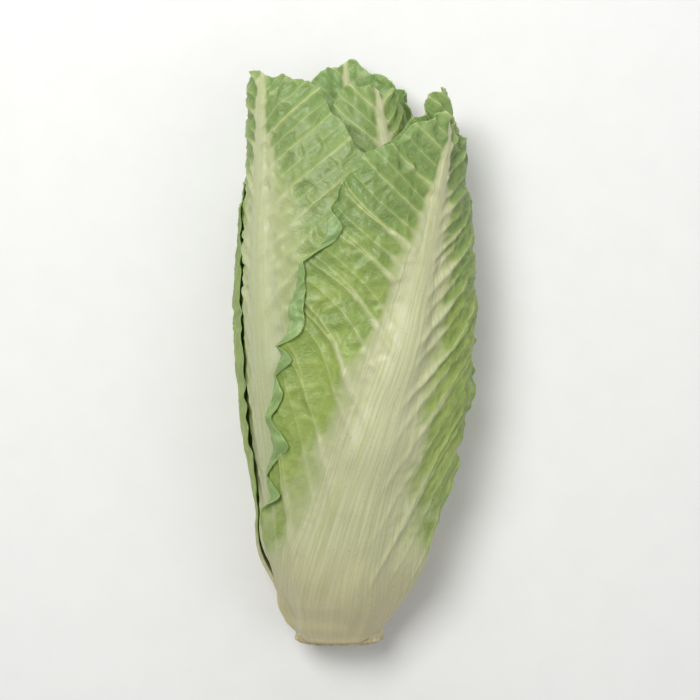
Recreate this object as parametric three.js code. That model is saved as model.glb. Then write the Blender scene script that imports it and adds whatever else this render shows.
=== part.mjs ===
// A romaine lettuce heart, trimmed of its coarse outer leaves and lying on its side.
// Units are millimetres and radians, +Z is up, and the heart lies along Y: its cut stump is at the low end and its
// leaf tips at the high end. The origin is the middle of the bounding box on the surface that the heart lies on.
//
// Every leaf is one closed shell that grows from a node on the stump and wraps the leaves that grew after it.
// A leaf is laid out in the head's own coordinates: a station along the axis from the cut face, an angle round the
// axis (a quarter turn is up), and a radius. The leaves are wrapped from the youngest outwards. A height map of the
// bundle so far keeps each new leaf just clear of it, so that ribs and waved margins show through the leaves above.
import * as THREE from "three";

// Driving dimensions.
const HEAD_LENGTH = 230; // cut face to the tallest tips
const LEAF_COUNT = 15;
const LEAF_TURN = THREE.MathUtils.degToRad(137.5); // the spiral in which a lettuce sets its leaves
const FIRST_AZIMUTH = THREE.MathUtils.degToRad(84); // the outermost leaf faces up
const WIDTH_SCALE = 1.16; // the bundle is pressed a little flat
const DEPTH_SCALE = 0.82;
const TOP_ROUNDNESS = 2.1; // superellipse exponents of the section's upper and lower halves
const BOTTOM_ROUNDNESS = 2.7;

// The stump: a short tapering stem, cut square.
const STUMP_RADIUS = 15;
const STUMP_LENGTH = 60;
const STUMP_CHAMFER = 1.5;

// The bundle of leaves.
const NECK_RADIUS = 16; // outer radius at the cut face
const BELLY_RADIUS = 39; // outer radius at its widest
const BELLY_STATION = 135;
const FIRST_ROOT = 3; // station of the outermost leaf's root, and of the youngest one's
const LAST_ROOT = 48;
const LAYER_POWER = 1.3; // the outer leaves lie close together, and the inner ones step in faster
const INNER_LAYER = 0.12; // the youngest leaf's radius, as a share of the outer one

// One leaf.
const ROOT_GAP = 0.3;
const LEAF_GAP = 1.5;
const BLADE_THICKNESS = 0.65;
const SHEATH_THICKNESS = 1.3; // the blade's thickness low down, beside the rib
const EDGE_BEVEL = 0.5; // how far the outer face stops short of the inner one's margin
const RIB_THICKNESS = 4.4;
const RIB_HALF_WIDTH = 9.5;
const OUTER_HALF_WIDTH = 52;
const FRONT_HALF_WIDTH = 44; // the two outermost leaves are narrower than the next
const FRONT_TURNS = [0.3, 0.2, 0.25]; // radians that the outermost leaves are turned further round
const FRONT_LEAN = -1.15;
const OUTER_RUFFLE = 2.4;
const TIP_CLOSING = 0.6; // the share of its radius that an inner leaf draws in at its tip
const WIDEST_SHARE = 0.6; // where a leaf is widest, as a share of its length
const SEAT_FLAT = 1.1; // how deep the surface it lies on presses into its lowest leaves

// The bundle's height map.
const MAP_TURNS = 144;
const MAP_STEP = 2;
const MAP_ROWS = 120;

const HALF_TURN = Math.PI;
const FULL_TURN = 2 * Math.PI;
const { lerp, clamp } = THREE.MathUtils;

function smoothstep(low, high, x) {
  const t = clamp((x - low) / (high - low), 0, 1);
  return t * t * (3 - 2 * t);
}

// The larger of two lengths, with the corner where they cross rounded over a width.
function softMax(a, b, width) {
  const near = Math.max(width - Math.abs(a - b), 0) / width;
  return Math.max(a, b) + (near * near * width) / 4;
}

// A repeatable draw between -1 and 1 for one property of one leaf.
function vary(leafNumber, property) {
  const wild = Math.sin(leafNumber * 12.9898 + property * 78.233 + 4.1) * 43758.5453;
  return 2 * (wild - Math.floor(wild)) - 1;
}

function stumpRadius(station) {
  const share = clamp(station / STUMP_LENGTH, 0, 1);
  return STUMP_RADIUS * (1 - share ** 1.6) ** 0.8;
}

function headRadius(station) {
  const rise = Math.sin(((HALF_TURN / 2) * Math.max(station, 0)) / BELLY_STATION);
  return NECK_RADIUS + (BELLY_RADIUS - NECK_RADIUS) * rise;
}

// What makes leaf number k (0 is the outermost) different from the others.
function planLeaf(k) {
  const age = k / (LEAF_COUNT - 1);
  const layer = 1 - (1 - INNER_LAYER) * age ** LAYER_POWER;
  const root = lerp(FIRST_ROOT, LAST_ROOT, age ** 0.9);
  const top = 226 - 26 * (1 - Math.min(k / 4, 1)) ** 1.5 - 95 * age ** 2.2 + 5 * vary(k, 1);
  const rootRadius = stumpRadius(root) + ROOT_GAP;
  return {
    k,
    root,
    top,
    layer,
    rootRadius,
    azimuth: FIRST_AZIMUTH + k * LEAF_TURN + 0.08 * vary(k, 2) + (FRONT_TURNS[k] ?? 0),
    lean: k === 0 ? FRONT_LEAN : 0.25 * vary(k, 3),
    widest: lerp(root, top, WIDEST_SHARE + 0.04 * vary(k, 4)),
    rootHalfWidth: 1.1 * rootRadius,
    halfWidth: k < 2 ? FRONT_HALF_WIDTH : Math.min(
      OUTER_HALF_WIDTH * (1 - 0.62 * age ** 1.3) * (1 + 0.05 * vary(k, 5)),
      1.9 * layer * BELLY_RADIUS,
    ),
    size: Math.sqrt(layer),
    flare: 3 * layer * (0.5 + 1.5 * vary(k, 6)),
    closing: TIP_CLOSING * smoothstep(0.15, 0.6, age),
    ruffle: lerp(OUTER_RUFFLE, 1.2, Math.min(2 * age, 1)),
    wave: lerp(34, 22, age) * (1 + 0.12 * vary(k, 7)),
    phase: HALF_TURN * vary(k, 8),
    sway: lerp(1.3, 0.5, age),
  };
}

// Half the leaf's width at a station below its widest one.
function halfWidth(leaf, station) {
  const share = clamp((station - leaf.root) / (leaf.widest - leaf.root), 0, 1);
  return lerp(leaf.rootHalfWidth, leaf.halfWidth, Math.sin((HALF_TURN / 2) * share) ** 1.2);
}

// How near a place on the leaf is to its margin: 0 on the midline low down, 1 on the margin all round.
function marginShare(leaf, across, station) {
  const rise = Math.max(station - leaf.widest, 0) / (leaf.top - leaf.widest);
  return Math.hypot(across / halfWidth(leaf, station), rise);
}

// Distance round the margin from the leaf's apex, negative to its left.
function marginPlace(leaf, across, station) {
  const height = leaf.top - leaf.widest;
  const rise = Math.max(station - leaf.widest, 0) / height;
  const turn = Math.atan2(rise, Math.abs(across) / leaf.halfWidth);
  const quarter = (HALF_TURN / 4) * (height + leaf.halfWidth);
  const below = Math.max(leaf.widest - station, 0);
  return Math.sign(across) * (below + quarter * (1 - turn / (HALF_TURN / 2)));
}

// The margin wanders in and out a little: the share of the plain outline that the leaf reaches.
function outlineScale(leaf, place) {
  return 1 + 0.022 * Math.sin((FULL_TURN * place) / 41 + leaf.phase) + 0.012 * Math.sin((FULL_TURN * place) / 17);
}

function nominalRadius(leaf, station) {
  const share = (station - leaf.root) / (leaf.top - leaf.root);
  const settled = smoothstep(0, 30, station - leaf.root);
  const flare = leaf.flare * smoothstep(0.72, 1, share);
  return lerp(leaf.rootRadius, leaf.layer * headRadius(station), settled) + flare;
}

function leafAngle(leaf, across, station) {
  const share = clamp((station - leaf.root) / (leaf.top - leaf.root), 0, 1);
  return leaf.azimuth + leaf.lean * share ** 1.1 + across / nominalRadius(leaf, station);
}

function leafThickness(leaf, across, station) {
  const up = station - leaf.root;
  const share = clamp(up / (leaf.top - leaf.root), 0, 1);
  const blade = lerp(SHEATH_THICKNESS, BLADE_THICKNESS, smoothstep(10, 60, up));
  const ribHalfWidth = leaf.size * (RIB_HALF_WIDTH * (1 - share) ** 1.1 + 1.4);
  const rib = leaf.size * RIB_THICKNESS * (1 - share) ** 0.9 * Math.exp(-(Math.abs(across / ribHalfWidth) ** 2.6));
  return blade + rib * lerp(0.25, 1, smoothstep(0, 14, up));
}

// The margin stands off in waves, and the whole blade undulates slowly.
function leafLift(leaf, across, station) {
  const free = smoothstep(0.5, 1, marginShare(leaf, across, station)) * smoothstep(25, 80, station - leaf.root);
  const turns = (FULL_TURN * marginPlace(leaf, across, station)) / leaf.wave + leaf.phase;
  const waves = 0.55 + 0.45 * Math.sin(turns) + 0.2 * Math.sin(0.47 * turns + 1.3);
  const slow = Math.sin(across / 19 + leaf.phase) * Math.sin(station / 27 + 2 * leaf.phase);
  return free * leaf.ruffle * waves + leaf.sway * slow * smoothstep(20, 70, station - leaf.root);
}

// Uniform cubic B-spline weights for a place between two samples.
function splineWeights(t) {
  const r = 1 - t;
  return [r ** 3 / 6, (3 * t ** 3 - 6 * t * t + 4) / 6, (3 * r ** 3 - 6 * r * r + 4) / 6, t ** 3 / 6];
}

// Reads a height map smoothly between its samples. Rows run along the axis, and columns round it.
function readMap(map, angle, station) {
  const column = ((angle / FULL_TURN) * MAP_TURNS % MAP_TURNS + MAP_TURNS) % MAP_TURNS;
  const row = clamp(station / MAP_STEP, 0, MAP_ROWS - 1);
  const column0 = Math.floor(column);
  const row0 = Math.floor(row);
  const acrossWeights = splineWeights(column - column0);
  const alongWeights = splineWeights(row - row0);
  let sum = 0;
  alongWeights.forEach((alongWeight, i) => {
    const y = clamp(row0 + i - 1, 0, MAP_ROWS - 1);
    acrossWeights.forEach((acrossWeight, j) => {
      sum += alongWeight * acrossWeight * map[y * MAP_TURNS + ((column0 + j - 1 + MAP_TURNS) % MAP_TURNS)];
    });
  });
  return sum;
}

// A map whose every sample is worked out from the neighbours within a reach, in columns and in rows.
function spread(map, columns, rows, combine) {
  const passed = map.map((_, n) => {
    const y = Math.floor(n / MAP_TURNS);
    const x = n % MAP_TURNS;
    return combine(range(columns).map((d) => map[y * MAP_TURNS + ((x + d + MAP_TURNS) % MAP_TURNS)]));
  });
  return passed.map((_, n) => {
    const y = Math.floor(n / MAP_TURNS);
    const x = n % MAP_TURNS;
    return combine(range(rows).map((d) => passed[clamp(y + d, 0, MAP_ROWS - 1) * MAP_TURNS + x]));
  });
}

const range = (reach) => Array.from({ length: 2 * reach + 1 }, (_, i) => i - reach);
const highest = (values) => Math.max(...values);
const mean = (values) => values.reduce((sum, v) => sum + v, 0) / values.length;

// The radius of a leaf's inner face: its own shape, or just clear of the bundle where that is larger.
function innerRadius(leaf, bundle, across, station) {
  const angle = leafAngle(leaf, across, station);
  const gap = lerp(ROOT_GAP, LEAF_GAP, smoothstep(0, 14, station - leaf.root));
  const share = (station - leaf.root) / (leaf.top - leaf.root);
  const open = 1 - leaf.closing * smoothstep(0.6, 1, share);
  const wanted = nominalRadius(leaf, station) * open + leafLift(leaf, across, station);
  return softMax(readMap(bundle, angle, station) + gap, wanted, 2);
}

// Wraps the leaves from the youngest outwards and keeps with each the smoothed bundle that it lies on.
function wrapLeaves() {
  let heights = new Float64Array(MAP_TURNS * MAP_ROWS).map((_, n) =>
    stumpRadius(Math.floor(n / MAP_TURNS) * MAP_STEP),
  );
  const leaves = [];
  for (let k = LEAF_COUNT - 1; k >= 0; k--) {
    const leaf = planLeaf(k);
    let bundle = spread(heights, 3, 1, highest);
    bundle = spread(bundle, 2, 1, mean);
    leaf.bundle = bundle;
    heights = heights.map((height, n) => {
      const station = Math.floor(n / MAP_TURNS) * MAP_STEP;
      if (station < leaf.root || station > leaf.top + 4) return height;
      let turn = (n % MAP_TURNS) / MAP_TURNS * FULL_TURN - leafAngle(leaf, 0, station);
      turn -= FULL_TURN * Math.round(turn / FULL_TURN);
      const across = turn * nominalRadius(leaf, station);
      if (marginShare(leaf, across, station) > outlineScale(leaf, marginPlace(leaf, across, station)) + 0.02)
        return height;
      const outer = innerRadius(leaf, bundle, across, station) + leafThickness(leaf, across, station);
      return Math.max(height, outer);
    });
    leaves.unshift(leaf);
  }
  return leaves;
}

// The section's outline at an angle, for a radius of one.
function sectionPoint(angle) {
  const exponent = Math.sin(angle) > 0 ? TOP_ROUNDNESS : BOTTOM_ROUNDNESS;
  const across = Math.abs(Math.cos(angle)) ** exponent;
  const up = Math.abs(Math.sin(angle)) ** exponent;
  const reach = (across + up) ** (-1 / exponent);
  return [WIDTH_SCALE * reach * Math.cos(angle), DEPTH_SCALE * reach * Math.sin(angle)];
}

// The head's axis: higher where the bundle is thicker, so that its underside lies level, and bowed a little.
function axisPoint(station) {
  const up = lerp(17, 32.5, smoothstep(-20, 100, station)) - 3 * smoothstep(150, HEAD_LENGTH, station);
  const bow = 4 * Math.sin((HALF_TURN * station) / HEAD_LENGTH);
  return [bow, up];
}

function placePoint(angle, station, radius) {
  const [across, up] = sectionPoint(angle);
  const [axisX, axisZ] = axisPoint(station);
  return new THREE.Vector3(axisX + across * radius, station, axisZ + up * radius);
}

// A place on the leaf from its two parameters: u from margin to margin, v from root to tip. Below the widest
// station it is a ladder of straight rows, and above it the square-to-disc map, which rounds the tip.
function leafPlace(leaf, u, v) {
  if (v <= WIDEST_SHARE) {
    const station = lerp(leaf.root, leaf.widest, v / WIDEST_SHARE);
    const across = u * halfWidth(leaf, station);
    const scale = lerp(1, outlineScale(leaf, marginPlace(leaf, across, station)), u * u);
    return [across * scale, station];
  }
  const w = (v - WIDEST_SHARE) / (1 - WIDEST_SHARE);
  const across = u * Math.sqrt(1 - (w * w) / 2) * leaf.halfWidth;
  const rise = w * Math.sqrt(1 - (u * u) / 2) * (leaf.top - leaf.widest);
  const place = marginPlace(leaf, across, leaf.widest + rise);
  const scale = lerp(1, outlineScale(leaf, place), Math.max(u * u, w * w));
  return [across * scale, leaf.widest + rise * scale];
}

// A closed shell from two faces that share their layout: outer and inner hold (columns + 1) x (rows + 1) points.
function closedShell(outer, inner, columns, rows) {
  const positions = [...outer, ...inner].flatMap((p) => p.toArray());
  const at = (i, j) => j * (columns + 1) + i;
  const offset = outer.length;
  const faces = [];
  for (let j = 0; j < rows; j++) {
    for (let i = 0; i < columns; i++) {
      const [a, b, c, d] = [at(i, j), at(i + 1, j), at(i + 1, j + 1), at(i, j + 1)];
      faces.push(a, c, b, a, d, c);
      faces.push(offset + a, offset + b, offset + c, offset + a, offset + c, offset + d);
    }
  }
  const rim = [];
  for (let i = 0; i < columns; i++) rim.push(at(i, 0));
  for (let j = 0; j < rows; j++) rim.push(at(columns, j));
  for (let i = columns; i > 0; i--) rim.push(at(i, rows));
  for (let j = rows; j > 0; j--) rim.push(at(0, j));
  rim.forEach((a, n) => {
    const b = rim[(n + 1) % rim.length];
    faces.push(a, b, offset + b, a, offset + b, offset + a);
  });
  const geometry = new THREE.BufferGeometry();
  geometry.setAttribute("position", new THREE.Float32BufferAttribute(positions, 3));
  geometry.setIndex(faces);
  return geometry;
}

// The points of one of a leaf's two faces, row by row. It may stop short of the margin all round.
function leafFace(leaf, columns, rows, isOuter) {
  const bevel = isOuter ? EDGE_BEVEL : 0;
  const uReach = 1 - bevel / leaf.halfWidth;
  const vReach = 1 - bevel / (leaf.top - leaf.root);
  const points = [];
  for (let j = 0; j <= rows; j++) {
    for (let i = 0; i <= columns; i++) {
      const side = (2 * i) / columns - 1;
      const u = Math.sign(side) * Math.abs(side) ** 1.3; // columns gather at the rib
      const v = (j / rows) ** 1.25; // and rows at the root
      const [across, station] = leafPlace(leaf, clamp(u, -uReach, uReach), clamp(v, 1 - vReach, vReach));
      const thickness = isOuter ? leafThickness(leaf, across, station) : 0;
      const radius = innerRadius(leaf, leaf.bundle, across, station) + thickness;
      points.push(placePoint(leafAngle(leaf, across, station), station, radius));
    }
  }
  return points;
}

function leafShell(leaf, columns, rows) {
  const outer = leafFace(leaf, columns, rows, true);
  const inner = leafFace(leaf, columns, rows, false);
  return { outer, inner, columns, rows };
}

function stumpGeometry() {
  const profile = [new THREE.Vector2(0, 0), new THREE.Vector2(STUMP_RADIUS - STUMP_CHAMFER, 0)];
  for (let n = 0; n <= 8; n++) {
    const station = lerp(STUMP_CHAMFER, STUMP_LENGTH, n / 8);
    profile.push(new THREE.Vector2(stumpRadius(station), station));
  }
  const stump = new THREE.LatheGeometry(profile, 24);
  stump.deleteAttribute("uv");
  stump.deleteAttribute("normal");
  const places = stump.getAttribute("position");
  for (let n = 0; n < places.count; n++) {
    const radius = Math.hypot(places.getX(n), places.getZ(n));
    const angle = Math.atan2(places.getZ(n), places.getX(n));
    const placed = placePoint(angle, places.getY(n), radius);
    places.setXYZ(n, placed.x, placed.y, placed.z);
  }
  return stump;
}

const leaves = wrapLeaves();
const shells = leaves.map((leaf) => (leaf.k < 8 ? leafShell(leaf, 14, 18) : leafShell(leaf, 12, 13)));

// The lowest leaves are pressed flat where they lie, which gives the heart a level seat.
const lowest = Math.min(...shells.flatMap((shell) => shell.outer.map((p) => p.z)));
const seat = lowest + SEAT_FLAT;
shells.forEach((shell) => {
  shell.outer.forEach((p) => (p.z = Math.max(p.z, seat)));
  shell.inner.forEach((p) => (p.z = Math.max(p.z, seat + BLADE_THICKNESS)));
});

const OUTER_COLOUR = new THREE.Color(0x93ab5a);
const INNER_COLOUR = new THREE.Color(0xd6d98c);
const STUMP_COLOUR = new THREE.Color(0xd8d2b0);

const heart = new THREE.Group();
heart.name = "romaine_heart";
const stump = new THREE.Mesh(
  stumpGeometry(),
  new THREE.MeshStandardMaterial({ color: STUMP_COLOUR, roughness: 0.6, metalness: 0 }),
);
stump.name = "stump";
heart.add(stump);
shells.forEach((shell, k) => {
  const colour = OUTER_COLOUR.clone().lerp(INNER_COLOUR, k / (LEAF_COUNT - 1));
  const leaf = new THREE.Mesh(
    closedShell(shell.outer, shell.inner, shell.columns, shell.rows),
    new THREE.MeshStandardMaterial({ color: colour, roughness: 0.45, metalness: 0 }),
  );
  leaf.name = "leaf_" + String(k + 1).padStart(2, "0");
  heart.add(leaf);
});

const box = new THREE.Box3().setFromObject(heart);
heart.position.set(-(box.min.x + box.max.x) / 2, -(box.min.y + box.max.y) / 2, -box.min.z);

export default heart;
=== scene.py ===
"""A romaine lettuce heart lying on its side, seen from above.

Every leaf is a thin closed shell worked out on a grid of two parameters, u from margin to margin and v from
root to tip. The parameters give a place on the leaf laid flat: the distance across from its midline and the
station along the head. The place then gives an angle round the head's axis and a radius, and those give a
point. The leaves are wrapped from the youngest outwards, and a height map of the bundle so far keeps each new
leaf just clear of it. Sizes are in millimetres until a mesh is written, in metres.
"""
from types import SimpleNamespace

import bpy
import numpy as np
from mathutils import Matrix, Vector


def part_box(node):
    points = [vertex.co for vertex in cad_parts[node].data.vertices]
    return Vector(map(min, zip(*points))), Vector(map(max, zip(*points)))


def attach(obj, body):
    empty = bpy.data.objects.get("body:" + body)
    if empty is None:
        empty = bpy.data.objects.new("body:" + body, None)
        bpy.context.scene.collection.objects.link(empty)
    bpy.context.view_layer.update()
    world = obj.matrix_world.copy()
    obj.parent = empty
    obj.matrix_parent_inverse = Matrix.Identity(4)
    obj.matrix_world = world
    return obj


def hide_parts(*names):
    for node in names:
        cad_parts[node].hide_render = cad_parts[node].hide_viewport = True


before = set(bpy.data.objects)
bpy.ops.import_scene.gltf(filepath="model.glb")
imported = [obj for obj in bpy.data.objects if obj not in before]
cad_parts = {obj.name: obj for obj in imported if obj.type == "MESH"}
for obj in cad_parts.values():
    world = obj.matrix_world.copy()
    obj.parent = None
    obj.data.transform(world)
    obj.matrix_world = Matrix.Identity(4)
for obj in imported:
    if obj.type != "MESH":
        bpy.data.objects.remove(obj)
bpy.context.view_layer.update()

MM = 0.001
QUARTER_TURN = np.pi / 2
HALF_TURN = np.pi
FULL_TURN = 2 * np.pi

# The head: its axis, its section and its layers.
HEAD_LENGTH = 230
LEAF_COUNT = 15
LEAF_TURN = np.radians(137.5)
FIRST_AZIMUTH = np.radians(84)
WIDTH_SCALE = 1.16
DEPTH_SCALE = 0.82
TOP_ROUNDNESS = 2.1
BOTTOM_ROUNDNESS = 2.7
AXIS_BOW = 4  # to the right, at mid length
AXIS_AT_STUMP = 17  # the axis's height, which sinks a little again towards the tips
AXIS_AT_BELLY = 32.5
AXIS_SINK = 3
STUMP_RADIUS = 15
STUMP_LENGTH = 60
STUMP_CHAMFER = 1.5
NECK_RADIUS = 16
BELLY_RADIUS = 39
BELLY_STATION = 135
FIRST_ROOT = 3
LAST_ROOT = 48
INNER_LAYER = 0.12
LAYER_POWER = 1.3

# One leaf.
TALLEST_TIP = 226
OUTER_TIP_DROP = 26  # how much lower the front leaf's tip is, and how much lower the youngest leaf's
INNER_TIP_DROP = 95
TIP_VARIETY = 5
ROOT_GAP = 0.3
LEAF_GAP = 1.5
ROOT_REACH = 14  # how far above its root a leaf takes to come to its full gap and thickness
BLADE_THICKNESS = 0.65
SHEATH_THICKNESS = 1.3
RIB_THICKNESS = 4.4
RIB_HALF_WIDTH = 9.5
RIB_END = 1.4
OUTER_HALF_WIDTH = 52
FRONT_HALF_WIDTH = 44
FRONT_TURNS = (0.3, 0.2, 0.25)
FRONT_LEAN = -1.15
OUTER_RUFFLE = 2.4
INNER_RUFFLE = 1.2
TIP_CLOSING = 0.6
WIDEST_SHARE = 0.6
MAP_TURNS = 144
MAP_STEP = 2
MAP_ROWS = 120

# The properties that vary from leaf to leaf, numbered for their draws.
TOP, TURN, LEAN, WIDEST, WIDTH, FLARE, WAVE, PHASE, YOUTH = range(1, 10)

# The finer form that the leaves get here.
FINE_BLADE = 0.5  # the blade's thickness, and its margin's
FINE_EDGE = 0.3
VEIN_SPACING = 7.5
VEIN_HEIGHT = 0.6
VEIN_LIFT = 0.2
VEIN_SLOPES = (3.4, 0.95)  # rise over run of the side veins, low down and high up
VEIN_WANDER = 1.8
FORK_WIDTH = 0.24  # in vein spacings
NET_SIZE = (5.2, 7.0)
NET_BORDER = 0.12
NET_HEIGHT = 0.14
CELL_JITTER = 0.42
HOLLOW_DEPTH = 0.45
QUILT_DEPTH = 0.45
PUCKER_HEIGHT = 0.85
RIDGE_HEIGHT = 0.2
FRILL_HEIGHT = 0.6
FRILL_WAVE = 10.5
FOLD_WIDTH = 6.4  # the flap of a folded margin, the length of its bend and how far it turns
FOLD_BEND = 2.2
FOLD_TURN = 2.95
FLAP_SPACING = 21
HUG_GAP = 0.5  # between a drawn-in margin and what it lies on
BURIED = 1.0  # how deep a root's end goes into what it grows from
ROOT_DROP = 2.5  # how far the middle of a root reaches down past its margins, and the lowest that it may
LOWEST_ROOT = 1.4
FLOOR_SOFTNESS = 0.6  # how gently a leaf flattens on the floor, and the height of its inner face there
FLOOR_INNER = 0.45
PALE_SHARES = (0, 0.08, 0.2, 0.35, 0.55, 0.8, 0.92, 1)  # up a leaf, and the pale part's half width there
PALE_WIDTHS = (70, 50, 22, 17, 13, 7, 2.8, 0.8)


def srgb(red, green, blue):
    """A colour given as screen values from 0 to 255, as linear light."""
    shares = np.array([red, green, blue]) / 255
    return (*np.where(shares <= 0.04045, shares / 12.92, ((shares + 0.055) / 1.055) ** 2.4), 1.0)


# ---------------------------------------------------------------- curves and draws


def lerp(a, b, t):
    """a at 0 and b at 1, on a straight line."""
    return a + (b - a) * t


def smoothstep(low, high, x):
    """0 below low and 1 above high, with 3t^2 - 2t^3 between."""
    t = np.clip((x - low) / (high - low), 0, 1)
    return t * t * (3 - 2 * t)


def soft_max(a, b, width):
    """The larger of two lengths, plus (w - |a - b|)^2 / 4w where they are nearer than the width w."""
    near = np.maximum(width - np.abs(a - b), 0) / width
    return np.maximum(a, b) + near * near * width / 4


def fraction(x):
    return x - np.floor(x)


def vary(leaf_number, prop):
    """A repeatable draw between -1 and 1 for one property of one leaf."""
    return 2 * fraction(np.sin(leaf_number * 12.9898 + prop * 78.233 + 4.1) * 43758.5453) - 1


def draw(i, j, seed):
    """A repeatable draw between -1 and 1 for a whole-numbered place."""
    return 2 * fraction(np.sin(i * 127.1 + j * 311.7 + seed * 74.7) * 43758.5453) - 1


def soft_noise(x, y, seed):
    """Draws at whole places, blended between them along both directions with smoothstep weights."""
    i, j = np.floor(x), np.floor(y)
    s, t = smoothstep(0, 1, x - i), smoothstep(0, 1, y - j)
    low = lerp(draw(i, j, seed), draw(i + 1, j, seed), s)
    high = lerp(draw(i, j + 1, seed), draw(i + 1, j + 1, seed), s)
    return lerp(low, high, t)


def edge_noise(place, seed):
    """Soft noise along a line, such as a margin."""
    return soft_noise(place, 0 * place, seed)


def cell_gap(x, y, seed):
    """Distance to the second nearest less distance to the nearest of points drawn one in each unit square:
    0 on the borders between cells, and about 0.6 in their middles."""
    nearest = np.full(np.shape(x), 9.0)
    second = nearest.copy()
    for di in (-1, 0, 1):
        for dj in (-1, 0, 1):
            i, j = np.floor(x) + di, np.floor(y) + dj
            middle_x = i + 0.5 + CELL_JITTER * draw(i, j, seed)
            middle_y = j + 0.5 + CELL_JITTER * draw(i, j, seed + 1)
            distance = np.hypot(middle_x - x, middle_y - y)
            second = np.minimum(second, np.maximum(nearest, distance))
            nearest = np.minimum(nearest, distance)
    return second - nearest


# ---------------------------------------------------------------- the head's form


def stump_radius(station):
    """R (1 - t^1.6)^0.8, where t is the share of the stump's length."""
    return STUMP_RADIUS * (1 - np.clip(station / STUMP_LENGTH, 0, 1) ** 1.6) ** 0.8


def head_radius(station):
    """From the neck to the belly and in again on a sine of the station."""
    rise = np.sin(QUARTER_TURN * np.maximum(station, 0) / BELLY_STATION)
    return NECK_RADIUS + (BELLY_RADIUS - NECK_RADIUS) * rise


def plan_leaf(k):
    """What makes leaf number k (0 is the outermost) different from the others."""
    age = k / (LEAF_COUNT - 1)
    layer = 1 - (1 - INNER_LAYER) * age**LAYER_POWER
    root = lerp(FIRST_ROOT, LAST_ROOT, age**0.9)
    top = TALLEST_TIP - OUTER_TIP_DROP * (1 - min(k / 4, 1)) ** 1.5
    top = top - INNER_TIP_DROP * age**2.2 + TIP_VARIETY * vary(k, TOP)
    root_radius = stump_radius(root) + ROOT_GAP
    half = OUTER_HALF_WIDTH * (1 - 0.62 * age**1.3) * (1 + 0.05 * vary(k, WIDTH))
    front_turn = FRONT_TURNS[k] if k < len(FRONT_TURNS) else 0
    return SimpleNamespace(
        k=k,
        age=age,
        root=root,
        top=top,
        layer=layer,
        root_radius=root_radius,
        azimuth=FIRST_AZIMUTH + k * LEAF_TURN + 0.08 * vary(k, TURN) + front_turn,
        lean=FRONT_LEAN if k == 0 else 0.25 * vary(k, LEAN),
        widest=lerp(root, top, WIDEST_SHARE + 0.04 * vary(k, WIDEST)),
        root_half_width=1.1 * root_radius,
        half_width=FRONT_HALF_WIDTH if k < 2 else min(half, 1.9 * layer * BELLY_RADIUS),
        size=np.sqrt(layer),
        flare=3 * layer * (0.5 + 1.5 * vary(k, FLARE)),
        closing=TIP_CLOSING * smoothstep(0.15, 0.6, age),
        ruffle=lerp(OUTER_RUFFLE, INNER_RUFFLE, min(2 * age, 1)),
        wave=lerp(34, 22, age) * (1 + 0.12 * vary(k, WAVE)),
        phase=HALF_TURN * vary(k, PHASE),
        sway=lerp(1.3, 0.5, age),
        young=np.clip(age * 1.5 + 0.15 * vary(k, YOUTH), 0, 1),
        fold=1.0 if k == 0 else 0.0,  # how far the margins turn over, and the right one's share of that
        fold_right=0.3,
        clasp=0.95 if k == 1 else 0.0,  # how far the left margin is drawn in
        pallor=0.5 if k == 3 else 0.0,  # how pale the blade is beside the rib
    )


def half_width(leaf, station):
    """From the root's half width to the leaf's own at its widest station, on a sine to the power 1.2."""
    share = np.clip((station - leaf.root) / (leaf.widest - leaf.root), 0, 1)
    return lerp(leaf.root_half_width, leaf.half_width, np.sin(QUARTER_TURN * share) ** 1.2)


def leaf_share(leaf, station):
    """The share of the leaf's length, from 0 at its root to 1 at its tip."""
    return np.clip((station - leaf.root) / (leaf.top - leaf.root), 0, 1)


def margin_share(leaf, across, station):
    """0 on the midline low down and 1 on the margin all round: the length of (across, rise), where each is a
    share of the leaf's own size."""
    rise = np.maximum(station - leaf.widest, 0) / (leaf.top - leaf.widest)
    return np.hypot(across / half_width(leaf, station), rise)


def margin_place(leaf, across, station):
    """Distance round the margin from the leaf's apex, negative on one side of it."""
    height = leaf.top - leaf.widest
    rise = np.maximum(station - leaf.widest, 0) / height
    turn = np.arctan2(rise, np.abs(across) / leaf.half_width)
    quarter = HALF_TURN / 4 * (height + leaf.half_width)
    below = np.maximum(leaf.widest - station, 0)
    return np.sign(across) * (below + quarter * (1 - turn / QUARTER_TURN))


def outline_scale(leaf, place):
    """The share of the plain outline that the leaf reaches: 1 plus two small sines of the place on the
    margin, 41 and 17 mm long."""
    long_wave = 0.022 * np.sin(FULL_TURN * place / 41 + leaf.phase)
    return 1 + long_wave + 0.012 * np.sin(FULL_TURN * place / 17)


def nominal_radius(leaf, station):
    """From the root's radius out to the leaf's layer of the head, and flared at the tip."""
    settled = smoothstep(0, 30, station - leaf.root)
    flare = leaf.flare * smoothstep(0.72, 1, (station - leaf.root) / (leaf.top - leaf.root))
    return lerp(leaf.root_radius, leaf.layer * head_radius(station), settled) + flare


def leaf_angle(leaf, across, station):
    """The midline's angle, which leans as the leaf rises, plus the distance across over the radius."""
    midline = leaf.azimuth + leaf.lean * leaf_share(leaf, station) ** 1.1
    return midline + across / nominal_radius(leaf, station)


def rib_half_width(leaf, station):
    """The rib narrows to its end on nearly a straight line."""
    return leaf.size * (RIB_HALF_WIDTH * (1 - leaf_share(leaf, station)) ** 1.1 + RIB_END)


def leaf_thickness(leaf, across, station, blade_thickness=BLADE_THICKNESS):
    """The blade's thickness, plus the rib's on the curve exp(-|x|^2.6) across it."""
    up = station - leaf.root
    blade = lerp(SHEATH_THICKNESS, blade_thickness, smoothstep(10, 60, up))
    across_rib = np.abs(across / rib_half_width(leaf, station))
    rib = leaf.size * RIB_THICKNESS * (1 - leaf_share(leaf, station)) ** 0.9 * np.exp(-(across_rib**2.6))
    return blade + rib * lerp(0.25, 1, smoothstep(0, ROOT_REACH, up))


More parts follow.
